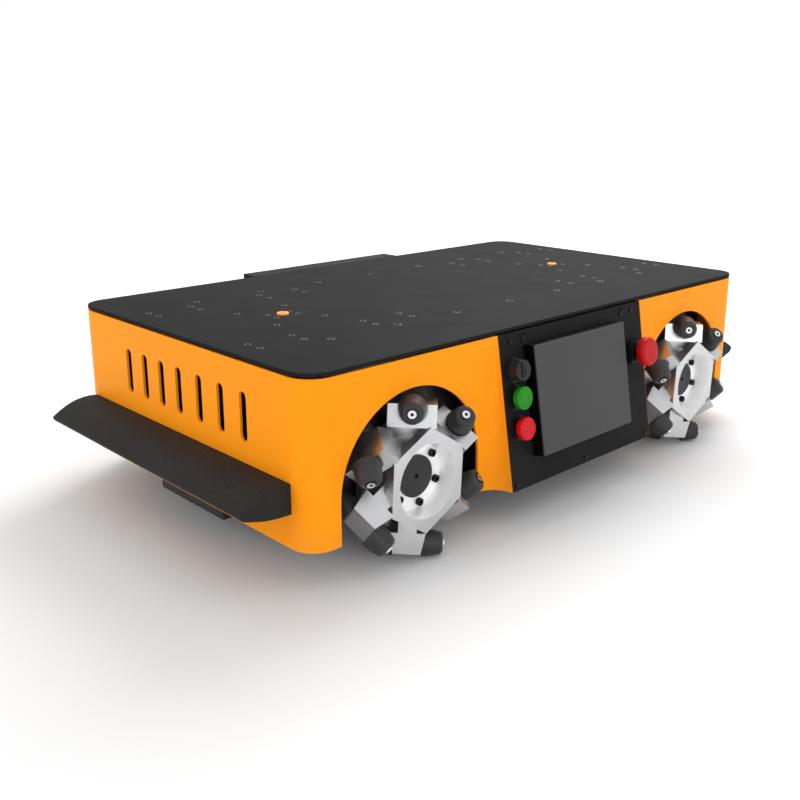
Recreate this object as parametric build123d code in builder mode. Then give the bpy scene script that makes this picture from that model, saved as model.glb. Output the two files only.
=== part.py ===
from build123d import *
from math import sin, cos, radians, sqrt, atan, atan2, hypot
import os

# Four-wheel mecanum robot base.  Millimetres.  +X forward, +Y left, +Z up,
# floor at z = 0, body centred on x = 0, y = 0.
os.makedirs("parts", exist_ok=True)

# ------------------------------------------------------------------ body
BODY_L = 660.0            # plate and shells, front to rear
BODY_W = 377.0            # plate and shells, side to side
CORNER_R = 24.0
DECK_Z = 187.2            # top face of the deck plate
PLATE_T = 3.0
SHELL_TOP = 182.2         # 2 mm shadow gap under the plate
SHELL_BOT = 36.2
SHELL_T = 2.5
LIP_W = 12.0              # inward lip along the bottom of a shell
PANEL_X0, PANEL_X1 = -118.0, 111.0
FLARE = 24.5              # how far the panel foot stands out from the sides
PANEL_T = 3.0
BASE_Z = SHELL_BOT + SHELL_T
BASE_T = 3.0
WALL_Y = 155.0            # outer face of the chassis side walls
WALL_T = 3.0
FLANGE_W = 15.0

# ------------------------------------------------------------------ wheels
WHEEL_R = 76.2            # 152.4 mm, six inch
AXLE_X = 215.5
AXLE_Z = 75.917          # stands on the outer halves of the lowest rollers
WHEEL_Y = 183.2           # mid plane of the hub
HUB_HALF = 23.3
HUB_CORNER = 47.7         # hexagon corner radius
PHASE = 87.0              # angle of the first lug, seen from outside
RHO = 63.0                # roller axle circle
LUG_TOP = 66.0
LUG_HALF_W = 21.0
LUG_T_TOP, LUG_T_ROOT, LUG_ROOT = 12.0, 15.8, 46.5
ROLL_S0, ROLL_S1 = 12.3, 31.5
PIN_R = 2.5
PIN_RUN = 0.05            # radial running clearance of a roller
STUB_R = 7.0
STUB_RUN = 0.05
BOWL_R, BOWL_FLOOR_R, BOWL_DEPTH = 33.7, 30.6, 17.2
HUB_SCREW_R = 25.5

ARCH_R = 82.0
ARCH_Z = 73.6

# ------------------------------------------------------------------ bumper
BUMP_HALF = 165.0
BUMP_DEPTH = 49.5

# the control face leans out towards its foot
LEAN = atan(FLARE / (SHELL_TOP - SHELL_BOT))
SLOPE_LEN = hypot(FLARE, SHELL_TOP - SHELL_BOT)


def face_frame(side, x, w, off=0.0):
    """Plane on a side panel's face: x along the body, w down the face from
    the shells' top edge, off outwards.  The left face (+1) leans, the right
    one (-1) is upright."""
    if side < 0:
        return Plane(origin=(x, -BODY_W / 2 - FLARE - off, SHELL_TOP - w), x_dir=(1, 0, 0), z_dir=(0, -1, 0))
    n = (0.0, cos(LEAN), sin(LEAN))
    d = (0.0, sin(LEAN), -cos(LEAN))
    o = (x, BODY_W / 2 + d[1] * w + n[1] * off, SHELL_TOP + d[2] * w + n[2] * off)
    return Plane(origin=o, x_dir=(1, 0, 0), z_dir=n)


def wheel_frame(sx, sy, k):
    """Unit vectors of lug k of one wheel: radial, roller axis, lug width."""
    phi = radians(PHASE + 60.0 * k)
    er = Vector(-cos(phi), 0, sin(phi))
    et = Vector(sin(phi), 0, cos(phi))
    ey = Vector(0, sy, 0)
    a = (et + ey) * (1 / sqrt(2))
    b = (ey - et) * (1 / sqrt(2))
    c = Vector(sx * AXLE_X, sy * WHEEL_Y, AXLE_Z)
    return c, er, a, b


WHEELS = (("fl", 1, 1), ("fr", 1, -1), ("rl", -1, 1), ("rr", -1, -1))

# ================================================================== deck
PATTERN = ([(sx * x, sy * y) for sx in (-1, 1) for sy in (-1, 1)
            for x in (304.0, 257.0, 173.0, 126.0) for y in (75.0, 93.0)])
GRID = ([(sx * x, sy * 109.0) for sx in (-1, 1) for sy in (-1, 1) for x in (80.0, 160.0, 240.0)]
        + [(0.0, -109.0), (0.0, 109.0)])
INNER = [(sx * x, sy * 32.5) for sx in (-1, 1) for sy in (-1, 1) for x in (242.0, 185.0)]
CAPS = [(-211.0, 0.0), (211.0, 0.0)]
CAP_RING = [(cx + 12.7 * i, 7.2 * j) for cx in (-211.0, 211.0) for i in (-1, 1) for j in (-1, 1)]
DECK_SCREWS = [(x, sy * 148.0) for x in (-290.0, -101.0, 0.0, 101.0, 290.0) for sy in (-1, 1)]

with BuildPart() as deck:
    with BuildSketch(Plane.XY.offset(DECK_Z - PLATE_T)):
        RectangleRounded(BODY_L, BODY_W, CORNER_R)
        with Locations(*PATTERN):
            Circle(2.25, mode=Mode.SUBTRACT)
        with Locations(*GRID):
            Circle(2.75, mode=Mode.SUBTRACT)
        with Locations(*INNER):
            Circle(2.25, mode=Mode.SUBTRACT)
        with Locations(*CAP_RING):
            Circle(1.7, mode=Mode.SUBTRACT)
        with Locations(*CAPS):
            Circle(4.5, mode=Mode.SUBTRACT)
    extrude(amount=PLATE_T)
    chamfer(deck.faces().sort_by(Axis.Z)[-1].outer_wire().edges(), length=0.5)
    with BuildSketch(Plane.XY.offset(DECK_Z - PLATE_T)):
        with Locations(*DECK_SCREWS):
            Circle(1.7)
    extrude(amount=2.2, mode=Mode.SUBTRACT)
deck.part.label = "deck_plate"
export_step(deck.part, "parts/deck_plate.step")

with BuildPart() as caps:
    with BuildSketch(Plane.XY.offset(DECK_Z)):
        with Locations(*CAPS):
            Circle(6.0)
    extrude(amount=2.0)
    fillet(caps.edges().filter_by(GeomType.CIRCLE).group_by(Axis.Z)[-1], radius=1.0)
    with BuildSketch(Plane.XY.offset(DECK_Z - PLATE_T - 2.0)):
        with Locations(*CAPS):
            Circle(4.4)
    extrude(amount=PLATE_T + 2.0)
    with BuildSketch(Plane.XY.offset(DECK_Z + 2.0)):
        with Locations(*CAPS):
            Circle(2.2)
    extrude(amount=-0.8, mode=Mode.SUBTRACT)
caps.part.label = "deck_caps"
export_step(caps.part, "parts/deck_caps.step")

# ================================================================== chassis
with BuildPart() as chassis:
    with BuildSketch(Plane.XY.offset(BASE_Z)):
        RectangleRounded(BODY_L - 10, BODY_W - 20, 20.0)
        with Locations(*[(sx * AXLE_X, sy * (WALL_Y + 30)) for sx in (-1, 1) for sy in (-1, 1)]):
            Rectangle(190.0, 60.0, mode=Mode.SUBTRACT)
        with Locations(*[(sx * x, 0.0) for sx in (-1, 1) for x in (150.0, 270.0)]):
            SlotOverall(90.0, 24.0, rotation=90, mode=Mode.SUBTRACT)
    extrude(amount=BASE_T)
    # side walls, standing on the base, turned in at the top under the deck
    with BuildSketch(Plane.XY.offset(BASE_Z + BASE_T)):
        with Locations((0, WALL_Y - WALL_T / 2), (0, -WALL_Y + WALL_T / 2)):
            Rectangle(610.0, WALL_T)
    extrude(amount=DECK_Z - PLATE_T - BASE_Z - BASE_T)
    with BuildSketch(Plane.XY.offset(DECK_Z - PLATE_T - WALL_T)):
        with Locations((0, WALL_Y - FLANGE_W / 2), (0, -WALL_Y + FLANGE_W / 2)):
            Rectangle(610.0, FLANGE_W)
    extrude(amount=WALL_T)
    # end bulkheads
    with BuildSketch(Plane.XY.offset(BASE_Z + BASE_T)):
        with Locations((303.5, 0), (-303.5, 0)):
            Rectangle(WALL_T, 2 * (WALL_Y - WALL_T))
    extrude(amount=60.0)
    # openings for the hub stubs
    with BuildSketch(Plane.XZ):
        with Locations((AXLE_X, AXLE_Z), (-AXLE_X, AXLE_Z)):
            Circle(16.0)
        with Locations((0, 120.0)):
            SlotOverall(170.0, 70.0)
    extrude(amount=200.0, both=True, mode=Mode.SUBTRACT)
    with BuildSketch(Plane.XY.offset(DECK_Z - PLATE_T)):
        with Locations(*DECK_SCREWS):
            Circle(1.7)
    extrude(amount=-WALL_T - 1, mode=Mode.SUBTRACT)
chassis.part.label = "chassis_frame"
export_step(chassis.part, "parts/chassis_frame.step")

# ================================================================== shells
SLOT_Y = (-90.5, -60.3, -30.2, 0.0, 34.0, 68.0, 102.0)
for nm, sx, edge in (("front_shell", 1, PANEL_X1), ("rear_shell", -1, PANEL_X0)):
    far = sx * (BODY_L / 2 + 20)
    mid = (far + edge) / 2
    with BuildPart() as shell:
        with BuildSketch(Plane.XY.offset(SHELL_BOT)):
            RectangleRounded(BODY_L, BODY_W, CORNER_R)
            RectangleRounded(BODY_L - 2 * LIP_W, BODY_W - 2 * LIP_W, CORNER_R - LIP_W, mode=Mode.SUBTRACT)
            with Locations((mid, 0)):
                Rectangle(abs(far - edge), BODY_W + 10, mode=Mode.INTERSECT)
        extrude(amount=SHELL_T)
        with BuildSketch(Plane.XY.offset(SHELL_BOT)):
            RectangleRounded(BODY_L, BODY_W, CORNER_R)
            RectangleRounded(BODY_L - 2 * SHELL_T, BODY_W - 2 * SHELL_T, CORNER_R - SHELL_T, mode=Mode.SUBTRACT)
            with Locations((mid, 0)):
                Rectangle(abs(far - edge), BODY_W + 10, mode=Mode.INTERSECT)
        extrude(amount=SHELL_TOP - SHELL_BOT)
        # concave flares that carry the sides out to the panel foot
        for sy in (1, -1):
            y0 = sy * (BODY_W / 2 - 0.6)
            with BuildSketch(Plane.XY.offset(SHELL_BOT)):
                with BuildLine():
                    r = FLARE
                    y1 = sy * (BODY_W / 2)
                    ThreePointArc((edge + sx * r, y1),
                                  (edge + sx * r * (1 - cos(radians(45))), y1 + sy * r * (1 - sin(radians(45)))),
                                  (edge, y1 + sy * r))
                    Polyline((edge, y1 + sy * r), (edge, y0), (edge + sx * r, y0), (edge + sx * r, y1))
                make_face()
            with BuildSketch(Plane.XY.offset(SHELL_TOP)):
                with BuildLine():
                    r = 0.6 if sy > 0 else FLARE
                    ThreePointArc((edge + sx * r, y1),
                                  (edge + sx * r * (1 - cos(radians(45))), y1 + sy * r * (1 - sin(radians(45)))),
                                  (edge, y1 + sy * r))
                    Polyline((edge, y1 + sy * r), (edge, y0), (edge + sx * r, y0), (edge + sx * r, y1))
                make_face()
            loft()
        # wheel arches
        with BuildSketch(Plane.XZ):
            with Locations((sx * AXLE_X, ARCH_Z)):
                Circle(ARCH_R)
            with Locations((sx * AXLE_X, ARCH_Z / 2)):
                Rectangle(2 * ARCH_R, ARCH_Z)
        extrude(amount=260.0, both=True, mode=Mode.SUBTRACT)
        # cooling slots in the end face
        with BuildSketch(Plane.YZ.offset(sx * (BODY_L / 2 - 10))):
            with Locations(*[(y * sx, 134.6) for y in SLOT_Y]):
                SlotOverall(44.0, 10.0, rotation=90)
        extrude(amount=sx * 20.0, mode=Mode.SUBTRACT)
    shell.part.label = nm
    export_step(shell.part, "parts/" + nm + ".step")

# ================================================================== panels
KEY_W, GREEN_W, RED_W, BTN_X = 34.5, 60.5, 89.5, 94.0
ESTOP_X, ESTOP_W = -98.5, 51.0
SCREEN_X0, SCREEN_X1, SCREEN_W0, SCREEN_W1, SCREEN_H = -68.0, 76.5, 14.5, 120.5, 13.5
MIDX = (PANEL_X0 + PANEL_X1) / 2
FACE_SCREWS = [(MIDX - 107.0, 143.0), (MIDX, 143.0), (MIDX + 107.0, 143.0),
               (MIDX - 98.0, 8.5), (MIDX - 80.0, 8.5), (MIDX + 80.0, 8.5), (MIDX + 98.0, 8.5)]

for nm, sy in (("left_panel", 1), ("right_panel", -1)):
    with BuildPart() as panel:
        with BuildSketch(Plane.YZ.offset(PANEL_X0 + 0.2)):
            with BuildLine():
                if sy > 0:
                    Polyline((WALL_Y, SHELL_BOT), (BODY_W / 2 + FLARE, SHELL_BOT),
                             (BODY_W / 2, SHELL_TOP), (WALL_Y, SHELL_TOP), close=True)
                else:
                    yo, ye = -BODY_W / 2 - FLARE, -BODY_W / 2 - 0.3
                    Polyline((-WALL_Y, SHELL_BOT), (yo, SHELL_BOT), (yo, DECK_Z), (ye, DECK_Z),
                             (ye, SHELL_TOP), (-WALL_Y, SHELL_TOP), close=True)
            make_face()
        extrude(amount=PANEL_X1 - PANEL_X0 - 0.4)
        with BuildSketch(Plane.YZ.offset(PANEL_X0 + 0.2 + PANEL_T)):
            with BuildLine():
                if sy > 0:
                    Polyline((WALL_Y - 1, BASE_Z + BASE_T), (BODY_W / 2 + FLARE - 3.9, BASE_Z + BASE_T),
                             (BODY_W / 2 - 2.6, SHELL_TOP - PANEL_T), (WALL_Y - 1, SHELL_TOP - PANEL_T), close=True)
                else:
                    Polyline((1 - WALL_Y, BASE_Z + BASE_T), (yo + PANEL_T, BASE_Z + BASE_T),
                             (yo + PANEL_T, SHELL_TOP - PANEL_T), (1 - WALL_Y, SHELL_TOP - PANEL_T), close=True)
            make_face()
        extrude(amount=PANEL_X1 - PANEL_X0 - 0.4 - 2 * PANEL_T, mode=Mode.SUBTRACT)
        # step over the chassis base plate
        with BuildSketch(Plane.XY.offset(BASE_Z - 0.0)):
            with Locations((MIDX, sy * 150.0)):
                Rectangle(PANEL_X1 - PANEL_X0 + 10, 57.4)
        extrude(amount=BASE_T + 0.01, mode=Mode.SUBTRACT)
        # shallow hook slots near the top edge
        with BuildSketch(face_frame(sy, MIDX, 3.6)):
            with Locations((-80.0, 0), (80.0, 0)):
                Rectangle(11.0, 1.6)
        extrude(amount=-1.5, mode=Mode.SUBTRACT)
        with BuildSketch(face_frame(sy, 0, 0)):
            with Locations(*[(x, sy * w) for x, w in FACE_SCREWS]):
                Circle(1.6)
        extrude(amount=-5.0, mode=Mode.SUBTRACT)
        if sy > 0:
            for w in (KEY_W, GREEN_W, RED_W):
                with BuildSketch(face_frame(1, BTN_X, w)):
                    Circle(9.1)
                extrude(amount=-6.0, mode=Mode.SUBTRACT)
            with BuildSketch(face_frame(1, ESTOP_X, ESTOP_W)):
                Circle(9.1)
            extrude(amount=-6.0, mode=Mode.SUBTRACT)
            # cable window behind the display
            with BuildSketch(face_frame(1, (SCREEN_X0 + SCREEN_X1) / 2, (SCREEN_W0 + SCREEN_W1) / 2)):
                Rectangle(90.0, 50.0)
            extrude(amount=-6.0, mode=Mode.SUBTRACT)
    panel.part.label = nm
    export_step(panel.part, "parts/" + nm + ".step")

# display module and its glass
scx, scw = (SCREEN_X0 + SCREEN_X1) / 2, (SCREEN_W0 + SCREEN_W1) / 2
with BuildPart() as disp:
    with BuildSketch(face_frame(1, scx, scw)):
        Rectangle(SCREEN_X1 - SCREEN_X0, SCREEN_W1 - SCREEN_W0)
    extrude(amount=SCREEN_H - 1.5)
    with BuildSketch(face_frame(1, scx, scw)):
        Rectangle(89.0, 49.0)
    extrude(amount=-8.0)
disp.part.label = "display_module"
export_step(disp.part, "parts/display_module.step")

with BuildPart() as glass:
    with BuildSketch(face_frame(1, scx, scw, SCREEN_H - 1.5)):
        Rectangle(SCREEN_X1 - SCREEN_X0 - 0.6, SCREEN_W1 - SCREEN_W0 - 0.6)
    extrude(amount=1.5)
    chamfer(glass.faces().sort_by(Axis((0, 0, 0), (0, cos(LEAN), sin(LEAN))))[-1].edges(), length=0.4)
glass.part.label = "display_glass"
export_step(glass.part, "parts/display_glass.step")

# bezels with their barrels and contact blocks behind the face
with BuildPart() as bezels:
    for w in (KEY_W, GREEN_W, RED_W):
        with BuildSketch(face_frame(1, BTN_X, w)):
            Circle(12.0)
        extrude(amount=2.2)
        with BuildSketch(face_frame(1, BTN_X, w)):
            Circle(9.0)
        extrude(amount=-12.0)
        with BuildSketch(face_frame(1, BTN_X, w, -6.0)):
            RectangleRounded(22.0, 21.0, 3.0)
        extrude(amount=-14.0)
        with BuildSketch(face_frame(1, BTN_X, w, 2.2)):
            Circle(6.05)
        extrude(amount=-18.0, mode=Mode.SUBTRACT)
bezels.part.label = "button_bezels"
export_step(bezels.part, "parts/button_bezels.step")

for nm, w in (("green_button", GREEN_W), ("red_button", RED_W)):
    with BuildPart() as btn:
        with BuildSketch(face_frame(1, BTN_X, w, 6.2)):
            Circle(11.0)
        extrude(amount=6.0)
        fillet(btn.edges().sort_by(Axis((0, 0, 0), (0, cos(LEAN), sin(LEAN))))[-1], radius=1.6)
        with BuildSketch(face_frame(1, BTN_X, w, 6.2)):
            Circle(6.0)
        extrude(amount=-16.5)
    btn.part.label = nm
    export_step(btn.part, "parts/" + nm + ".step")

with BuildPart() as key:
    with BuildSketch(face_frame(1, BTN_X, KEY_W, 2.8)):
        Circle(10.6)
    extrude(amount=3.4)
    with BuildSketch(face_frame(1, BTN_X, KEY_W, 2.8)):
        Circle(9.8)
    extrude(amount=10.4)
    with BuildSketch(face_frame(1, BTN_X, KEY_W, 13.2)):
        SlotOverall(15.0, 5.0, rotation=90)
    extrude(amount=1.4)
    with BuildSketch(face_frame(1, BTN_X, KEY_W, 14.6)):
        Rectangle(1.6, 8.0)
    extrude(amount=-1.0, mode=Mode.SUBTRACT)
    with BuildSketch(face_frame(1, BTN_X, KEY_W, 2.8)):
        Circle(6.0)
    extrude(amount=-16.0)
key.part.label = "key_switch_knob"
export_step(key.part, "parts/key_switch_knob.step")

with BuildPart() as esb:
    with BuildSketch(face_frame(1, ESTOP_X, ESTOP_W)):
        RectangleRounded(23.0, 23.0, 2.0)
    extrude(amount=6.5)
    with BuildSketch(face_frame(1, ESTOP_X, ESTOP_W, 6.5)):
        Circle(10.6)
    extrude(amount=2.0)
    with BuildSketch(face_frame(1, ESTOP_X, ESTOP_W)):
        Circle(9.0)
    extrude(amount=-12.0)
    with BuildSketch(face_frame(1, ESTOP_X, ESTOP_W, -6.0)):
        RectangleRounded(24.0, 24.0, 3.0)
    extrude(amount=-15.0)
    with BuildSketch(face_frame(1, ESTOP_X, ESTOP_W, 8.5)):
        Circle(7.05)
    extrude(amount=-27.0, mode=Mode.SUBTRACT)
esb.part.label = "estop_base"
export_step(esb.part, "parts/estop_base.step")

with BuildPart() as plunger:
    with BuildSketch(face_frame(1, ESTOP_X, ESTOP_W, 14.0)):
        Circle(7.0)
    extrude(amount=-26.5)
    with BuildSketch(face_frame(1, ESTOP_X, ESTOP_W, 14.0)):
        Circle(4.0)
    extrude(amount=5.0)
plunger.part.label = "estop_plunger"
export_step(plunger.part, "parts/estop_plunger.step")

with BuildPart() as esh:
    with BuildSketch(face_frame(1, ESTOP_X, ESTOP_W, 14.3)):
        Circle(15.2)
    extrude(amount=9.2)
    out = Axis((0, 0, 0), (0, cos(LEAN), sin(LEAN)))
    fillet(esh.edges().sort_by(out)[-1], radius=4.0)
    fillet(esh.edges().sort_by(out)[0], radius=2.0)
    with BuildSketch(face_frame(1, ESTOP_X, ESTOP_W, 14.3)):
        Circle(4.0 + 0.05)
    extrude(amount=5.2, mode=Mode.SUBTRACT)
esh.part.label = "estop_head"
export_step(esh.part, "parts/estop_head.step")

# ================================================================== bumpers
for nm, sx in (("front_bumper", 1), ("rear_bumper", -1)):
    with BuildPart() as bump:
        with BuildSketch(Plane.XZ.offset(-BUMP_HALF)):
            x0 = sx * BODY_L / 2
            with BuildLine():
                Spline((x0, 93.6), (x0 + sx * 16.9, 94.2), (x0 + sx * 28.6, 91.6),
                       (x0 + sx * 40.2, 86.3), (x0 + sx * BUMP_DEPTH, 80.4))
                Spline((x0 + sx * BUMP_DEPTH, 80.4), (x0 + sx * 48.6, 77.4), (x0 + sx * 39.7, 73.0),
                       (x0 + sx * 26.2, 69.4), (x0 + sx * 12.2, 67.8), (x0, 67.3))
                Line((x0, 67.3), (x0, 93.6))
            make_face()
        extrude(amount=2 * BUMP_HALF)
    bump.part.label = nm
    export_step(bump.part, "parts/" + nm + ".step")

# ================================================================== guide sensor
with BuildPart() as sensor:
    with BuildSketch(Plane.XY.offset(23.2)):
        with Locations((304.0, 0)):
            RectangleRounded(40.0, 108.0, 2.0)
    extrude(amount=SHELL_BOT - 23.2)
    with BuildSketch(Plane.XY.offset(SHELL_BOT)):
        with Locations((300.0, 0)):
            Rectangle(28.0, 90.0)
    extrude(amount=BASE_Z - SHELL_BOT)
sensor.part.label = "guide_sensor"
export_step(sensor.part, "parts/guide_sensor.step")

# ================================================================== drive units
with BuildPart() as motors:
    for n, sx, sy in WHEELS:
        inner = WALL_Y - WALL_T
        with BuildSketch(Plane(origin=(sx * AXLE_X, sy * inner, AXLE_Z), x_dir=(1, 0, 0), z_dir=(0, -sy, 0))):
            RectangleRounded(62.0, 62.0, 6.0)
        extrude(amount=6.0)
        with BuildSketch(Plane(origin=(sx * AXLE_X, sy * (inner - 6.0), AXLE_Z), x_dir=(1, 0, 0), z_dir=(0, -sy, 0))):
            Circle(26.0)
        extrude(amount=42.0)
        with BuildSketch(Plane(origin=(sx * AXLE_X, sy * (inner - 48.0), AXLE_Z), x_dir=(1, 0, 0), z_dir=(0, -sy, 0))):
            Circle(21.0)
        extrude(amount=62.0)
        with BuildSketch(Plane(origin=(sx * AXLE_X, sy * inner, AXLE_Z), x_dir=(1, 0, 0), z_dir=(0, -sy, 0))):
            Circle(STUB_R + STUB_RUN)
        extrude(amount=40.0, mode=Mode.SUBTRACT)
motors.part.label = "gear_motors"
export_step(motors.part, "parts/gear_motors.step")

with BuildPart() as battery:
    with BuildSketch(Plane.XY.offset(BASE_Z + BASE_T)):
        RectangleRounded(170.0, 120.0, 5.0)
    extrude(amount=68.0)
    with BuildSketch(Plane.XY.offset(BASE_Z + BASE_T + 68.0)):
        with Locations((70.0, 0)):
            Rectangle(16.0, 40.0)
    extrude(amount=6.0)
battery.part.label = "battery_pack"
export_step(battery.part, "parts/battery_pack.step")

with BuildPart() as ctrl:
    with BuildSketch(Plane.XY.offset(BASE_Z + BASE_T + 68.0)):
        with Locations((-12.0, 0)):
            RectangleRounded(130.0, 110.0, 4.0)
    extrude(amount=24.0)
    with BuildSketch(Plane.XY.offset(BASE_Z + BASE_T + 92.0)):
        with Locations(*[(-12.0, y) for y in (-40, -30, -20, -10, 0, 10, 20, 30, 40)]):
            Rectangle(110.0, 3.0)
    extrude(amount=8.0)
ctrl.part.label = "motor_controller"
export_step(ctrl.part, "parts/motor_controller.step")

# ================================================================== screws
with BuildPart() as screws:
    with BuildSketch(Plane.XY.offset(DECK_Z - PLATE_T - WALL_T)):
        with Locations(*DECK_SCREWS):
            Circle(3.6)
    extrude(amount=-1.4)
    with BuildSketch(Plane.XY.offset(DECK_Z - PLATE_T - WALL_T)):
        with Locations(*DECK_SCREWS):
            Circle(1.65)
    extrude(amount=WALL_T + 2.0)
    for sy in (1, -1):
        pts = [(x, sy * w) for x, w in FACE_SCREWS]
        with BuildSketch(face_frame(sy, 0, 0)):
            with Locations(*pts):
                Circle(2.7)
        extrude(amount=1.0)
        with BuildSketch(face_frame(sy, 0, 0)):
            with Locations(*pts):
                Circle(1.5)
        extrude(amount=-5.0)
screws.part.label = "machine_screws"
export_step(screws.part, "parts/machine_screws.step")

# ================================================================== wheels
for wn, sx, sy in WHEELS:
    C = Vector(sx * AXLE_X, sy * WHEEL_Y, AXLE_Z)
    OUT = (0, sy, 0)

    def disc(y):
        return Plane(origin=(C.X, sy * y, C.Z), x_dir=(1, 0, 0), z_dir=OUT)

    y_in, y_out = WHEEL_Y - HUB_HALF, WHEEL_Y + HUB_HALF
    with BuildPart() as hub:
        rot = (180.0 - PHASE) * (-sy)
        with BuildSketch(disc(y_out - 9.0)):
            RegularPolygon(HUB_CORNER, 6, rotation=rot)
        extrude(amount=9.0)
        with BuildSketch(disc(y_in)):
            RegularPolygon(HUB_CORNER, 6, rotation=rot)
        extrude(amount=7.0)
        with BuildSketch(disc(y_in)):
            Circle(38.0)
        extrude(amount=2 * HUB_HALF - 4.0)
        for k in range(6):
            c, er, a, b = wheel_frame(sx, sy, k)
            with BuildSketch(Plane(origin=c, x_dir=er, z_dir=b)):
                with BuildLine():
                    Polyline((30, -8.0), (LUG_ROOT, -8.0), (LUG_ROOT, -LUG_T_ROOT), (LUG_TOP, -LUG_T_TOP),
                             (LUG_TOP, LUG_T_TOP), (LUG_ROOT, LUG_T_ROOT), (LUG_ROOT, 8.0), (30, 8.0), close=True)
                make_face()
            extrude(amount=LUG_HALF_W, both=True)
        # roller seats and axle bores
        for k in range(6):
            c, er, a, b = wheel_frame(sx, sy, k)
            for s in (-1, 1):
                with BuildSketch(Plane(origin=c + er * RHO + a * (12.0 * s), x_dir=er, z_dir=a * s)):
                    Circle(13.7)
                extrude(amount=8.0, mode=Mode.SUBTRACT)
            with BuildSketch(Plane(origin=c + er * RHO, x_dir=er, z_dir=a)):
                Circle(PIN_R)
            extrude(amount=30.0, both=True, mode=Mode.SUBTRACT)
        # outer bowl, inner relief, stub shaft
        with BuildSketch(disc(y_out)):
            Circle(BOWL_R)
        with BuildSketch(disc(y_out - BOWL_DEPTH)):
            Circle(BOWL_FLOOR_R)
        loft(mode=Mode.SUBTRACT)
        with BuildSketch(disc(y_in)):
            Circle(30.0)
            Circle(13.0, mode=Mode.SUBTRACT)
        extrude(amount=19.0, mode=Mode.SUBTRACT)
        with BuildSketch(disc(y_in)):
            Circle(STUB_R)
        extrude(amount=-42.0)
        # hub screw recesses and the centre bore under the cap
        with BuildSketch(disc(y_out - BOWL_DEPTH)):
            with PolarLocations(HUB_SCREW_R, 6, start_angle=30.0 + 10.0 * sy):
                Circle(2.0)
        extrude(amount=-5.0, mode=Mode.SUBTRACT)
        with BuildSketch(disc(y_out - BOWL_DEPTH)):
            Circle(5.0)
        extrude(amount=-3.0, mode=Mode.SUBTRACT)
    hub.part.label = wn + "_wheel_hub"
    export_step(hub.part, "parts/" + wn + "_wheel_hub.step")

    with BuildPart() as cap:
        with BuildSketch(disc(y_out - BOWL_DEPTH)):
            Circle(19.0)
        extrude(amount=2.2)
        with BuildSketch(disc(y_out - BOWL_DEPTH)):
            Circle(4.9)
        extrude(amount=-3.0)
        with BuildSketch(disc(y_out - BOWL_DEPTH + 2.2)):
            Circle(2.4)
        extrude(amount=-3.0, mode=Mode.SUBTRACT)
    cap.part.label = wn + "_hub_cap"
    export_step(cap.part, "parts/" + wn + "_hub_cap.step")

    with BuildPart() as pins:
        for k in range(6):
            c, er, a, b = wheel_frame(sx, sy, k)
            o = c + er * RHO
            with BuildSketch(Plane(origin=o, x_dir=er, z_dir=a)):
                Circle(PIN_R)
            extrude(amount=30.8, both=True)
            for s in (-1, 1):
                with BuildSketch(Plane(origin=o + a * (30.8 * s), x_dir=er, z_dir=a * s)):
                    Circle(3.6)
                extrude(amount=2.2)
                with BuildSketch(Plane(origin=o + a * (33.0 * s), x_dir=er, z_dir=a * s)):
                    RegularPolygon(1.6, 6)
                extrude(amount=-1.6, mode=Mode.SUBTRACT)
        # screws holding the hub to its stub flange
        with BuildSketch(disc(y_out - BOWL_DEPTH)):
            with PolarLocations(HUB_SCREW_R, 6, start_angle=30.0 + 10.0 * sy):
                Circle(3.5)
        extrude(amount=3.2)
        with BuildSketch(disc(y_out - BOWL_DEPTH)):
            with PolarLocations(HUB_SCREW_R, 6, start_angle=30.0 + 10.0 * sy):
                Circle(2.0)
        extrude(amount=-5.0)
        with BuildSketch(disc(y_out - BOWL_DEPTH + 3.2)):
            with PolarLocations(HUB_SCREW_R, 6, start_angle=30.0 + 10.0 * sy):
                RegularPolygon(1.7, 6)
        extrude(amount=-1.8, mode=Mode.SUBTRACT)
    pins.part.label = wn + "_roller_axles"
    export_step(pins.part, "parts/" + wn + "_roller_axles.step")

    for k in range(6):
        c, er, a, b = wheel_frame(sx, sy, k)
        o = c + er * RHO

        def env(s):
            return WHEEL_R - sqrt(RHO * RHO + s * s / 2)

        with BuildPart() as roller:
            for s in (-1, 1):
                with BuildSketch(Plane(origin=o, x_dir=a * s, z_dir=b)):
                    with BuildLine():
                        s0, s1, e = ROLL_S0, ROLL_S1, 2.6
                        bore = PIN_R + PIN_RUN
                        Line((s0, bore), (s0, env(s0) - 0.6))
                        Line((s0, env(s0) - 0.6), (s0 + 0.6, env(s0 + 0.6)))
                        sm = (s0 + 0.6 + s1 - e) / 2
                        ThreePointArc((s0 + 0.6, env(s0 + 0.6)), (sm, env(sm)), (s1 - e, env(s1 - e)))
                        ThreePointArc((s1 - e, env(s1 - e)), (s1 - 0.75, env(s1) - 0.95), (s1, env(s1) - 2.8))
                        Polyline((s1, env(s1) - 2.8), (s1, 4.9), (s1 - 1.4, 4.9), (s1 - 1.4, bore), (s0, bore))
                    make_face()
                revolve(axis=Axis(o, a), revolution_arc=360)
        roller.part.label = "%s_roller_%d" % (wn, k + 1)
        export_step(roller.part, "parts/%s_roller_%d.step" % (wn, k + 1))
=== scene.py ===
import bpy
import bmesh
from math import sin, cos, radians, sqrt, atan, hypot, pi
from mathutils import Vector, Matrix


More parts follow.
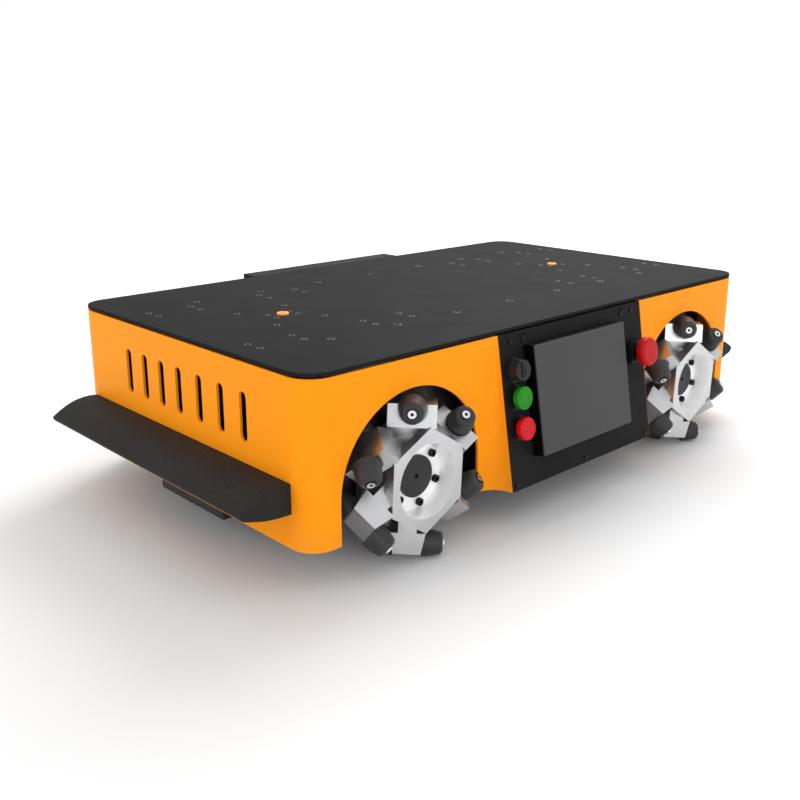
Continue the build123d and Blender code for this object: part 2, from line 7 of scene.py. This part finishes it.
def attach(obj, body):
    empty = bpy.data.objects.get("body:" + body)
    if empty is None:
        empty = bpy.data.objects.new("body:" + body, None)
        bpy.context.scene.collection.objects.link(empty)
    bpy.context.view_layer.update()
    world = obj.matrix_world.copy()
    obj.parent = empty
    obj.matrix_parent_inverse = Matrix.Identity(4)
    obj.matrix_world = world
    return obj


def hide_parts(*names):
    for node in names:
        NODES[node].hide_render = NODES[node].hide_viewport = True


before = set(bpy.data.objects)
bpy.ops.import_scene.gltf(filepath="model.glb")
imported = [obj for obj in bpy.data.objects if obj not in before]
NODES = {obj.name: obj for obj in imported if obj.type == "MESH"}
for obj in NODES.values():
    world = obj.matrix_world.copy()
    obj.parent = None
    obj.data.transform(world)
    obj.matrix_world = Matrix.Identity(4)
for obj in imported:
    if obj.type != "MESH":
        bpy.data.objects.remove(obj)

bpy.context.view_layer.update()
scene = bpy.context.scene

# ------------------------------------------------------------------ camera
cam = bpy.data.objects.new("camera", bpy.data.cameras.new("camera"))
scene.collection.objects.link(cam)
yaw, pitch = radians(226.587), radians(15.379)
look = Vector((cos(yaw) * cos(pitch), sin(yaw) * cos(pitch), -sin(pitch)))
cam.location = (0.7535, 0.7395, 0.3893)
cam.rotation_euler = look.to_track_quat("-Z", "Y").to_euler()
cam.data.sensor_width = 36.0
cam.data.lens = 955.66 / 800 * 36.0
cam.data.shift_y = -0.0475
cam.data.clip_start = 0.02
cam.data.clip_end = 120.0
scene.camera = cam
scene.view_settings.view_transform = "Standard"
scene.view_settings.look = "None"
scene.view_settings.exposure = 0.0
scene.view_settings.gamma = 1.0


# ------------------------------------------------------------------ node materials
class Mat:
    """A principled material with object-space noise on its colour, roughness and normal."""

    def __init__(self, name, rough=0.5, metallic=0.0, specular=0.5, coat=0.0, coat_rough=0.1, sheen=0.0, sheen_rough=0.5):
        self.m = bpy.data.materials.new(name)
        self.m.use_nodes = True
        self.nt = self.m.node_tree
        self.b = self.nt.nodes["Principled BSDF"]
        self.b.inputs["Roughness"].default_value = rough
        self.b.inputs["Metallic"].default_value = metallic
        self.b.inputs["Specular IOR Level"].default_value = specular
        self.b.inputs["Coat Weight"].default_value = coat
        self.b.inputs["Coat Roughness"].default_value = coat_rough
        self.b.inputs["Sheen Weight"].default_value = sheen
        self.b.inputs["Sheen Roughness"].default_value = sheen_rough
        self.tc = self.new("ShaderNodeTexCoord")
        self.normal = None

    def new(self, kind, **props):
        n = self.nt.nodes.new(kind)
        for k, v in props.items():
            setattr(n, k, v)
        return n

    def link(self, a, b):
        self.nt.links.new(a, b)

    def coords(self, centre=(0, 0, 0), scale=(1, 1, 1), rot=(0, 0, 0)):
        mp = self.new("ShaderNodeMapping", vector_type="POINT")
        mp.inputs["Location"].default_value = (-centre[0] * scale[0], -centre[1] * scale[1], -centre[2] * scale[2])
        mp.inputs["Scale"].default_value = scale
        mp.inputs["Rotation"].default_value = rot
        self.link(self.tc.outputs["Object"], mp.inputs["Vector"])
        return mp.outputs["Vector"]

    def noise(self, scale, detail=3.0, rough=0.55, vec=None):
        n = self.new("ShaderNodeTexNoise")
        n.inputs["Scale"].default_value = scale
        n.inputs["Detail"].default_value = detail
        n.inputs["Roughness"].default_value = rough
        self.link(vec if vec is not None else self.tc.outputs["Object"], n.inputs["Vector"])
        return n.outputs["Fac"]

    def voronoi(self, scale, feature="F1", smooth=None, vec=None):
        n = self.new("ShaderNodeTexVoronoi", feature=feature)
        n.inputs["Scale"].default_value = scale
        if smooth is not None and "Smoothness" in n.inputs:
            n.inputs["Smoothness"].default_value = smooth
        self.link(vec if vec is not None else self.tc.outputs["Object"], n.inputs["Vector"])
        return n.outputs["Distance"]

    def span(self, fac, lo, hi, to_lo, to_hi):
        n = self.new("ShaderNodeMapRange")
        n.clamp = True
        n.inputs["From Min"].default_value = lo
        n.inputs["From Max"].default_value = hi
        n.inputs["To Min"].default_value = to_lo
        n.inputs["To Max"].default_value = to_hi
        self.link(fac, n.inputs["Value"])
        return n.outputs["Result"]

    def mix(self, fac, a, b):
        n = self.new("ShaderNodeMix", data_type="RGBA", blend_type="MIX")
        for sock, v in ((n.inputs[6], a), (n.inputs[7], b)):
            if isinstance(v, tuple):
                sock.default_value = (*v, 1.0) if len(v) == 3 else v
            else:
                self.link(v, sock)
        if isinstance(fac, (int, float)):
            n.inputs[0].default_value = fac
        else:
            self.link(fac, n.inputs[0])
        return n.outputs[2]

    def math(self, op, a, b=None):
        n = self.new("ShaderNodeMath", operation=op)
        for sock, v in zip(n.inputs, (a, b)):
            if v is None:
                continue
            if isinstance(v, (int, float)):
                sock.default_value = v
            else:
                self.link(v, sock)
        return n.outputs[0]

    def colour(self, out):
        self.link(out, self.b.inputs["Base Color"])

    def roughness(self, out):
        self.link(out, self.b.inputs["Roughness"])

    def bump(self, height, strength, distance):
        n = self.new("ShaderNodeBump")
        n.inputs["Strength"].default_value = strength
        n.inputs["Distance"].default_value = distance
        self.link(height, n.inputs["Height"])
        if self.normal is not None:
            self.link(self.normal, n.inputs["Normal"])
        self.normal = n.outputs["Normal"]
        self.link(self.normal, self.b.inputs["Normal"])
        return self

    def edge(self, radius=0.0006, samples=4):
        """A mask that is high only within radius of a sharp edge."""
        bv = self.new("ShaderNodeBevel", samples=samples)
        bv.inputs["Radius"].default_value = radius
        geo = self.new("ShaderNodeNewGeometry")
        dot = self.new("ShaderNodeVectorMath", operation="DOT_PRODUCT")
        self.link(bv.outputs["Normal"], dot.inputs[0])
        self.link(geo.outputs["Normal"], dot.inputs[1])
        return self.span(dot.outputs["Value"], 0.985, 0.80, 0.0, 1.0)


def shade(c, k):
    return tuple(min(1.0, x * k) for x in c)


def plastic(name, base, rough=0.5, grain=2600.0, grain_h=0.00003, spec=0.4, vary=0.10, coat=0.0, edge=0.35, coat_rough=0.15):
    m = Mat(name, rough=rough, specular=spec, coat=coat, coat_rough=coat_rough)
    big = m.span(m.noise(9.0, 4.0), 0.3, 0.7, 0.0, 1.0)
    fine = m.span(m.noise(grain, 2.0), 0.3, 0.7, 0.0, 1.0)
    col = m.mix(big, shade(base, 1 - vary), shade(base, 1 + vary))
    col = m.mix(m.math("MULTIPLY", fine, 0.35), col, shade(base, 1.25))
    if edge:
        col = m.mix(m.math("MULTIPLY", m.edge(0.0008), edge), col, tuple(min(1.0, x * 1.9 + 0.02) for x in base))
    m.colour(col)
    m.roughness(m.span(m.noise(38.0, 4.0), 0.3, 0.7, max(0.02, rough - 0.06), min(1.0, rough + 0.06)))
    m.bump(fine, 0.45, grain_h)
    return m.m


def metal(name, base, rough=0.3, brush=(1, 1, 1), brush_scale=900.0, h=0.00001, vary=0.06, spec=0.5, smudge=0.05):
    m = Mat(name, rough=rough, metallic=1.0, specular=spec)
    streak = m.noise(brush_scale, 3.0, vec=m.coords(scale=brush))
    big = m.noise(22.0, 4.0)
    m.colour(m.mix(m.span(big, 0.3, 0.7, 0.0, 1.0), shade(base, 1 - vary), shade(base, 1 + vary)))
    r = m.math("ADD", m.span(streak, 0.3, 0.7, rough - 0.05, rough + 0.05), m.span(big, 0.3, 0.7, -smudge, smudge))
    m.roughness(r)
    m.bump(streak, 0.25, h)
    return m.m


# deck: fine black powder coat
def deck_material():
    m = Mat("deck_powder_coat", rough=0.58, specular=0.024)
    base = (0.0135, 0.0135, 0.0138)
    grain = m.voronoi(1500.0, "SMOOTH_F1", 0.6)
    big = m.span(m.noise(5.0, 5.0), 0.3, 0.7, 0.0, 1.0)
    sp = m.span(m.noise(1900.0, 2.0), 0.35, 0.75, 0.0, 1.0)
    col = m.mix(big, shade(base, 0.96), shade(base, 1.04))
    col = m.mix(m.math("MULTIPLY", sp, 0.30), col, shade(base, 1.4))
    col = m.mix(m.math("MULTIPLY", m.edge(0.0007), 0.35), col, (0.07, 0.07, 0.073))
    m.colour(col)
    m.roughness(m.span(m.noise(24.0, 5.0), 0.3, 0.7, 0.53, 0.58))
    m.bump(grain, 0.25, 0.00006)
    return m.m


# body: satin orange paint on sheet metal, with a faint orange peel
def orange_material(name="orange_paint", base=(1.0, 0.315, 0.006)):
    m = Mat(name, rough=0.42, specular=0.07)
    big = m.span(m.noise(3.5, 4.0), 0.3, 0.7, 0.0, 1.0)
    fine = m.noise(1400.0, 2.0)
    col = m.mix(big, (base[0], base[1] * 0.965, base[2] * 0.9), (base[0], base[1] * 1.03, base[2] * 1.15))
    col = m.mix(m.math("MULTIPLY", m.span(fine, 0.35, 0.7, 0.0, 1.0), 0.10), col, (1.0, 0.345, 0.012))
    col = m.mix(m.math("MULTIPLY", m.edge(0.0007), 0.25), col, (1.0, 0.42, 0.05))
    # road dust low on the skirts
    sep = m.new("ShaderNodeSeparateXYZ")
    m.link(m.tc.outputs["Object"], sep.inputs[0])
    low = m.span(sep.outputs["Z"], 0.060, 0.036, 0.0, 1.0)
    dust = m.math("MULTIPLY", low, m.span(m.noise(60.0, 5.0), 0.45, 0.75, 0.0, 0.22))
    col = m.mix(dust, col, (0.60, 0.33, 0.12))
    m.colour(col)
    m.roughness(m.math("ADD", m.span(m.noise(16.0, 5.0), 0.3, 0.7, 0.40, 0.49), m.math("MULTIPLY", low, 0.10)))
    m.bump(m.noise(420.0, 2.0), 0.10, 0.00010)
    return m.m


def rubber(name, base, rough=0.55, pebble=620.0, depth=0.00035, strength=0.55, spec=0.35, sheen=0.05):
    m = Mat(name, rough=rough, specular=spec, sheen=sheen, sheen_rough=0.45)
    cells = m.voronoi(pebble, "SMOOTH_F1", 0.35)
    fine = m.noise(pebble * 4, 3.0)
    big = m.span(m.noise(14.0, 4.0), 0.3, 0.7, 0.0, 1.0)
    col = m.mix(big, shade(base, 0.88), shade(base, 1.12))
    # painted shade: colour goes darker in the grooves between pebbles, where the bump is lowest
    col = m.mix(m.span(cells, 0.15, 0.75, 0.0, 0.55), col, shade(base, 0.55))
    m.colour(col)
    m.roughness(m.span(fine, 0.3, 0.7, rough - 0.07, rough + 0.07))
    m.bump(m.math("MULTIPLY", cells, -1.0), strength, depth)
    m.bump(fine, 0.15, 0.00005)
    return m.m


# roller rubber: moulded, with a fine grain and a thin bloom of floor dust
def roller_material():
    m = Mat("roller_rubber_moulded", rough=0.44, specular=0.38, sheen=0.03, sheen_rough=0.5)
    base = (0.024, 0.024, 0.025)
    fine = m.noise(2400.0, 3.0)
    big = m.noise(55.0, 5.0)
    col = m.mix(m.span(big, 0.3, 0.7, 0.0, 1.0), shade(base, 0.80), shade(base, 1.25))
    scuff = m.noise(330.0, 4.0, vec=m.coords(scale=(1.0, 0.25, 1.0)))
    col = m.mix(m.span(scuff, 0.60, 0.78, 0.0, 0.35), col, (0.085, 0.083, 0.080))
    m.colour(col)
    m.roughness(m.span(big, 0.3, 0.7, 0.42, 0.55))
    m.bump(fine, 0.30, 0.00005)
    m.bump(scuff, 0.12, 0.00008)
    return m.m


# wheel hubs: machined aluminium, turned about each axle
def hub_material(name, cx, cz):
    m = Mat(name, rough=0.36, metallic=1.0, specular=0.5)
    vec = m.coords(centre=(cx, 0, cz))
    sep = m.new("ShaderNodeSeparateXYZ")
    m.link(vec, sep.inputs[0])
    r = m.math("SQRT", m.math("ADD", m.math("MULTIPLY", sep.outputs["X"], sep.outputs["X"]),
                              m.math("MULTIPLY", sep.outputs["Z"], sep.outputs["Z"])))
    comb = m.new("ShaderNodeCombineXYZ")
    m.link(r, comb.inputs["X"])
    m.link(m.math("MULTIPLY", sep.outputs["Y"], 0.5), comb.inputs["Y"])
    rings = m.noise(1700.0, 2.0, vec=comb.outputs[0])
    big = m.noise(45.0, 4.0)
    col = m.mix(m.span(big, 0.3, 0.7, 0.0, 1.0), (0.56, 0.565, 0.575), (0.65, 0.655, 0.665))
    col = m.mix(m.math("MULTIPLY", m.edge(0.0006), 0.5), col, (0.86, 0.86, 0.87))
    m.colour(col)
    m.roughness(m.math("ADD", m.span(rings, 0.3, 0.7, 0.30, 0.42), m.span(big, 0.3, 0.7, -0.03, 0.03)))
    m.bump(rings, 0.22, 0.00002)
    return m.m


def bowl_highlight_material():
    # near-white and only part metallic: a painted highlight in place of the light the bowl reflects
    m = Mat("hub_bowl_painted_highlight", rough=0.30, metallic=0.35, specular=0.6)
    big = m.noise(45.0, 4.0)
    fine = m.noise(2600.0, 2.0)
    m.colour(m.mix(m.span(big, 0.3, 0.7, 0.0, 1.0), (0.93, 0.93, 0.935), (0.98, 0.98, 0.985)))
    m.roughness(m.span(fine, 0.3, 0.7, 0.28, 0.40))
    m.bump(fine, 0.10, 0.00001)
    return m.m


def screen_material():
    m = Mat("screen_cover", rough=0.38, specular=0.14, coat=0.04, coat_rough=0.2)
    base = (0.056, 0.056, 0.057)
    film = m.noise(1.8, 2.0)
    smear = m.noise(26.0, 6.0, vec=m.coords(scale=(1.0, 1.0, 0.35)))
    m.colour(m.mix(m.span(film, 0.3, 0.7, 0.0, 1.0), shade(base, 0.94), shade(base, 1.06)))
    m.roughness(m.span(smear, 0.35, 0.7, 0.30, 0.42))
    m.bump(m.noise(3000.0, 1.0), 0.05, 0.00001)
    return m.m


def lens_material(name, base, deep):
    m = Mat(name, rough=0.32, specular=0.16, coat=0.05, coat_rough=0.12)
    m.b.inputs["Subsurface Weight"].default_value = 0.05
    m.b.inputs["Subsurface Radius"].default_value = (0.004, 0.002, 0.001)
    m.b.inputs["Subsurface Scale"].default_value = 0.5
    big = m.noise(160.0, 3.0)
    col = m.mix(m.span(big, 0.3, 0.7, 0.0, 1.0), base, deep)
    col = m.mix(m.math("MULTIPLY", m.edge(0.0006), 0.4), col, tuple(min(1.0, x * 1.3 + 0.06) for x in base))
    m.colour(col)
    m.roughness(m.span(m.noise(700.0, 2.0), 0.3, 0.7, 0.20, 0.30))
    m.bump(m.noise(1500.0, 2.0), 0.08, 0.00002)
    return m.m


MATS = {
    "deck_black": deck_material(),
    "orange_cap": plastic("orange_cap_plastic", (1.0, 0.33, 0.05), 0.40, 2200.0, spec=0.45, vary=0.04),
    "frame_steel": metal("frame_steel_sheet", (0.20, 0.20, 0.21), 0.42, (1, 0.05, 1), 700.0),
    "orange_shell": orange_material(),
    "panel_black": plastic("panel_black_plastic", (0.0120, 0.0120, 0.0126), 0.54, 2300.0, spec=0.06),
    "display_black": plastic("display_black_plastic", (0.0022, 0.0022, 0.0024), 0.5, 2600.0, spec=0.08, edge=0.15),
    "screen_glass": screen_material(),
    "bezel_black": plastic("bezel_black_plastic", (0.008, 0.008, 0.009), 0.38, 3000.0, spec=0.25, coat=0.04),
    "green_lens": lens_material("green_button_lens", (0.012, 0.25, 0.008), (0.008, 0.20, 0.005)),
    "red_lens": lens_material("red_button_lens", (0.62, 0.003, 0.009), (0.54, 0.002, 0.007)),
    "knob_black": plastic("knob_black_plastic", (0.017, 0.017, 0.018), 0.40, 3000.0, spec=0.22),
    "estop_red": plastic("estop_red_plastic", (0.46, 0.003, 0.006), 0.36, 3000.0, spec=0.14, coat=0.03, vary=0.05, edge=0.0),
    "bumper_black": rubber("bumper_rubber", (0.024, 0.0235, 0.023), 0.62, 560.0, 0.00045, 0.65, spec=0.12, sheen=0.0),
    "sensor_black": plastic("sensor_black_plastic", (0.010, 0.010, 0.011), 0.44, 2200.0),
    "motor_metal": metal("motor_case_metal", (0.34, 0.34, 0.35), 0.34, (1, 0.03, 1), 800.0),
    "battery_blue": plastic("battery_wrap", (0.012, 0.055, 0.22), 0.30, 1500.0, spec=0.5, coat=0.3),
    "heatsink": metal("heatsink_anodised", (0.10, 0.10, 0.105), 0.42, (0.05, 1, 1), 900.0),
    "dark_steel": metal("screw_dark_steel", (0.022, 0.022, 0.024), 0.42, (1, 1, 1), 1600.0),
    "hub_aluminium": None,
    "cap_black": plastic("hub_cap_black", (0.028, 0.028, 0.029), 0.42, 2600.0, spec=0.20),
    "bright_steel": metal("axle_bright_steel", (0.78, 0.78, 0.80), 0.20, (1, 1, 1), 2200.0),
    "roller_rubber": roller_material(),
}

AXLE_X, AXLE_Z, WHEEL_Y, HUB_HALF = 0.2155, 0.075917, 0.1832, 0.0233
WHEELS = (("fl", 1, 1), ("fr", 1, -1), ("rl", -1, 1), ("rr", -1, -1))
HUB = {"%s" % w: hub_material("hub_aluminium_" + w, sx * AXLE_X, AXLE_Z) for w, sx, sy in WHEELS}

for name, obj in NODES.items():
    for i, slot in enumerate(obj.material_slots):
        s = slot.material.name.split(".")[0]
        if s == "hub_aluminium":
            obj.material_slots[i].material = HUB[name[:2]]
        elif MATS.get(s) is not None:
            obj.material_slots[i].material = MATS[s]

# ------------------------------------------------------------------ screw sockets painted dark as shade, and hub screws
RHO, PHASE = 0.063, 87.0


def wheel_axes(sx, sy, k):
    phi = radians(PHASE + 60.0 * k)
    er = Vector((-cos(phi), 0, sin(phi)))
    et = Vector((sin(phi), 0, cos(phi)))
    ey = Vector((0, sy, 0))
    return Vector((sx * AXLE_X, sy * WHEEL_Y, AXLE_Z)), er, (et + ey) / sqrt(2), (ey - et) / sqrt(2)


# painted shade: the hex socket faces at each roller axle end get a dark metal for the shade inside the socket
SOCKET_SHADE = metal("socket_recess_painted_shade", (0.035, 0.035, 0.037), 0.5, (1, 1, 1), 1800.0)
for w, sx, sy in WHEELS:
    o = NODES[w + "_roller_axles"]
    o.data.materials.append(SOCKET_SHADE)
    o.data.materials.append(MATS["dark_steel"])
    axes = [wheel_axes(sx, sy, k) for k in range(6)]
    for poly in o.data.polygons:
        p = poly.center
        c = axes[0][0]
        if hypot(p.x - c.x, p.z - c.z) < 0.032:
            poly.material_index = 2
            continue
        for c, er, a, b in axes:
            q = p - (c + er * RHO)
            s = abs(q.dot(a))
            if s > 0.0312 and (q - a * q.dot(a)).length < 0.00165 and s < 0.03295:
                poly.material_index = 1
                break

# the bowl in each hub gets a near-white, part-diffuse material: a painted highlight standing in for the bright
# reflection in the bowl
BOWL_HIGHLIGHT = bowl_highlight_material()
for w, sx, sy in WHEELS:
    o = NODES[w + "_wheel_hub"]
    o.data.materials.append(BOWL_HIGHLIGHT)
    for poly in o.data.polygons:
        p = poly.center
        r = hypot(p.x - sx * AXLE_X, p.z - AXLE_Z)
        d = (WHEEL_Y + HUB_HALF) - abs(p.y)
        if r < 0.0337 and 0.0002 < d < 0.0176:
            poly.material_index = 1

# ------------------------------------------------------------------ push button lenses
BODY_W, FLARE, SHELL_TOP, SHELL_BOT = 0.377, 0.0245, 0.1822, 0.0362
LEAN = atan(FLARE / (SHELL_TOP - SHELL_BOT))
FN = Vector((0.0, cos(LEAN), sin(LEAN)))
FD = Vector((0.0, sin(LEAN), -cos(LEAN)))
FX = Vector((1.0, 0.0, 0.0))


def on_face(x, w, off=0.0):
    """A point on the control face: x along the body, w down the slope, off outwards, in metres."""
    return Vector((x, BODY_W / 2, SHELL_TOP)) + FD * w + FN * off


def lathe(name, origin, axis, side, prof, segs=72):
    """A closed turned piece about axis: prof is (radius, height) from the axis and back to it, in metres."""
    up = axis.cross(side)
    bm = bmesh.new()
    cols = []
    for r, h in prof:
        if r < 1e-7:
            cols.append([bm.verts.new(origin + axis * h)] * segs)
        else:
            cols.append([bm.verts.new(origin + axis * h + side * (r * cos(2 * pi * i / segs)) + up * (r * sin(2 * pi * i / segs)))
                         for i in range(segs)])
    for a, b in zip(cols, cols[1:]):
        for i in range(segs):
            j = (i + 1) % segs
            loop = []
            for v in (a[i], a[j], b[j], b[i]):
                if v not in loop:
                    loop.append(v)
            if len(loop) > 2:
                f = bm.faces.new(loop)
                f.smooth = True
    bmesh.ops.recalc_face_normals(bm, faces=bm.faces)
    me = bpy.data.meshes.new(name)
    bm.to_mesh(me)
    bm.free()
    ob = bpy.data.objects.new(name, me)
    scene.collection.objects.link(ob)
    return ob


def arc(cr, ch, rad, t0, t1, n=6):
    return [(cr + rad * cos(radians(t0 + (t1 - t0) * i / n)), ch + rad * sin(radians(t0 + (t1 - t0) * i / n))) for i in range(n + 1)]


mm = 0.001
LENS = [(0.0, -10.3), (6.0, -10.3), (6.0, 6.2), (10.7, 6.2)]
LENS += arc(10.7, 6.5, 0.3, -90, 0, 3)
LENS += arc(9.5, 10.7, 1.5, 0, 90, 8)
LENS += [(8.85, 12.2), (8.62, 12.12), (8.50, 11.80), (8.20, 11.74), (7.90, 11.80), (7.78, 12.02), (7.5, 12.10),
         (5.5, 12.04), (3.0, 11.96), (0.0, 11.93)]
LENS = [(r * mm, h * mm) for r, h in LENS]
for node, w, mat in (("green_button", 0.0605, "green_lens"), ("red_button", 0.0895, "red_lens")):
    piece = lathe(node + "_lens", on_face(0.094, w), FN, FX, LENS)
    piece.data.materials.append(MATS[mat])
    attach(piece, node)
    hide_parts(node)

# ------------------------------------------------------------------ bare rims round the deck holes
DECK_Z = 0.1872


def ring_mesh(name, places, segs=28):
    """Low rings with a rounded crown: places are (x, y, hole radius, width, height)."""
    bm = bmesh.new()
    for x, y, r, wd, h in places:
        prof = [(r + 0.00002, -0.0004), (r + 0.00002, h * 0.55), (r + wd * 0.22, h), (r + wd * 0.72, h * 0.92),
                (r + wd, h * 0.30), (r + wd, -0.00005)]
        rows = []
        for i in range(segs):
            t = 2 * pi * i / segs
            rows.append([bm.verts.new((x + pr * cos(t), y + pr * sin(t), DECK_Z + pz)) for pr, pz in prof])
        for i in range(segs):
            a, b = rows[i], rows[(i + 1) % segs]
            for j in range(len(prof) - 1):
                bm.faces.new((a[j], b[j], b[j + 1], a[j + 1])).smooth = True
            bm.faces.new((a[-1], b[-1], b[0], a[0]))
    bmesh.ops.recalc_face_normals(bm, faces=bm.faces)
    me = bpy.data.meshes.new(name)
    bm.to_mesh(me)
    bm.free()
    ob = bpy.data.objects.new(name, me)
    scene.collection.objects.link(ob)
    return ob


HOLES = [(sx * x, sy * y, 0.00225) for sx in (-1, 1) for sy in (-1, 1) for x in (0.304, 0.257, 0.173, 0.126) for y in (0.075, 0.093)]
HOLES += [(sx * x, sy * 0.109, 0.00275) for sx in (-1, 1) for sy in (-1, 1) for x in (0.080, 0.160, 0.240)]
HOLES += [(0.0, -0.109, 0.00275), (0.0, 0.109, 0.00275)]
HOLES += [(sx * x, sy * 0.0325, 0.00225) for sx in (-1, 1) for sy in (-1, 1) for x in (0.242, 0.185)]
HOLES += [(cx + 0.0127 * i, 0.0072 * j, 0.0017) for cx in (-0.211, 0.211) for i in (-1, 1) for j in (-1, 1)]
rims = ring_mesh("deck_hole_rims", [(x, y, r, 0.00075, 0.00016) for x, y, r in HOLES])
rims.data.materials.append(metal("rim_bare_metal", (0.16, 0.16, 0.165), 0.42, (1, 1, 1), 2600.0))
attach(rims, "base")

# ------------------------------------------------------------------ floor and light
bm = bmesh.new()
bmesh.ops.create_circle(bm, cap_ends=True, radius=18.0, segments=96)
mesh = bpy.data.meshes.new("floor")
bm.to_mesh(mesh)
bm.free()
floor = bpy.data.objects.new("floor", mesh)
scene.collection.objects.link(floor)
# painted shade and light: the floor is grey near the robot to deepen its shadow, and turns white and glows further
# out
fm = Mat("floor_white", rough=0.75, specular=0.15)
fsep = fm.new("ShaderNodeVectorMath", operation="LENGTH")
fm.link(fm.tc.outputs["Object"], fsep.inputs[0])
far_glow_mask = fm.span(fsep.outputs["Value"], 0.9, 2.8, 0.0, 1.0)
near_shade_col = fm.mix(fm.span(fm.noise(1.3, 4.0), 0.3, 0.7, 0.0, 1.0), (0.765, 0.770, 0.773), (0.780, 0.785, 0.788))
fm.colour(fm.mix(far_glow_mask, near_shade_col, (0.95, 0.95, 0.95)))
# painted light: the far floor glows
fm.b.inputs["Emission Color"].default_value = (1.0, 1.0, 1.0, 1.0)
fm.link(fm.math("MULTIPLY", far_glow_mask, 0.22), fm.b.inputs["Emission Strength"])
mesh.materials.append(fm.m)

world = bpy.data.worlds.new("studio")
scene.world = world
world.use_nodes = True
wn = world.node_tree
bg = wn.nodes["Background"]
tc = wn.nodes.new("ShaderNodeTexCoord")
sep = wn.nodes.new("ShaderNodeSeparateXYZ")
wn.links.new(tc.outputs["Generated"], sep.inputs[0])
ramp = wn.nodes.new("ShaderNodeValToRGB")
ramp.color_ramp.elements[0].position = 0.0
ramp.color_ramp.elements[0].color = (1.0, 1.0, 1.0, 1)
ramp.color_ramp.elements[1].position = 0.14
ramp.color_ramp.elements[1].color = (1.03, 1.03, 1.03, 1)
sky = ramp.color_ramp.elements.new(0.30)
sky.color = (0.97, 0.97, 0.97, 1)
ramp.color_ramp.elements[0].color = (1.03, 1.03, 1.03, 1)
wn.links.new(sep.outputs["Z"], ramp.inputs[0])
wn.links.new(ramp.outputs[0], bg.inputs["Color"])
bg.inputs["Strength"].default_value = 0.98


def area(name, loc, target, size, energy, colour=(1, 1, 1)):
    data = bpy.data.lights.new(name, "AREA")
    data.shape = "RECTANGLE"
    data.size, data.size_y = size
    data.energy = energy
    data.color = colour
    o = bpy.data.objects.new(name, data)
    o.location = loc
    o.rotation_euler = (Vector(target) - Vector(loc)).to_track_quat("-Z", "Y").to_euler()
    scene.collection.objects.link(o)
    return o


area("overhead", (-1.35, -0.55, 1.75), (0, 0, 0), (1.3, 1.0), 39.0)
area("side_fill", (1.0, 2.1, 0.8), (0, 0, 0.1), (1.0, 0.7), 6.0)
area("front_fill", (2.3, -0.7, 0.9), (0.2, 0, 0.1), (1.0, 0.7), 5.0)
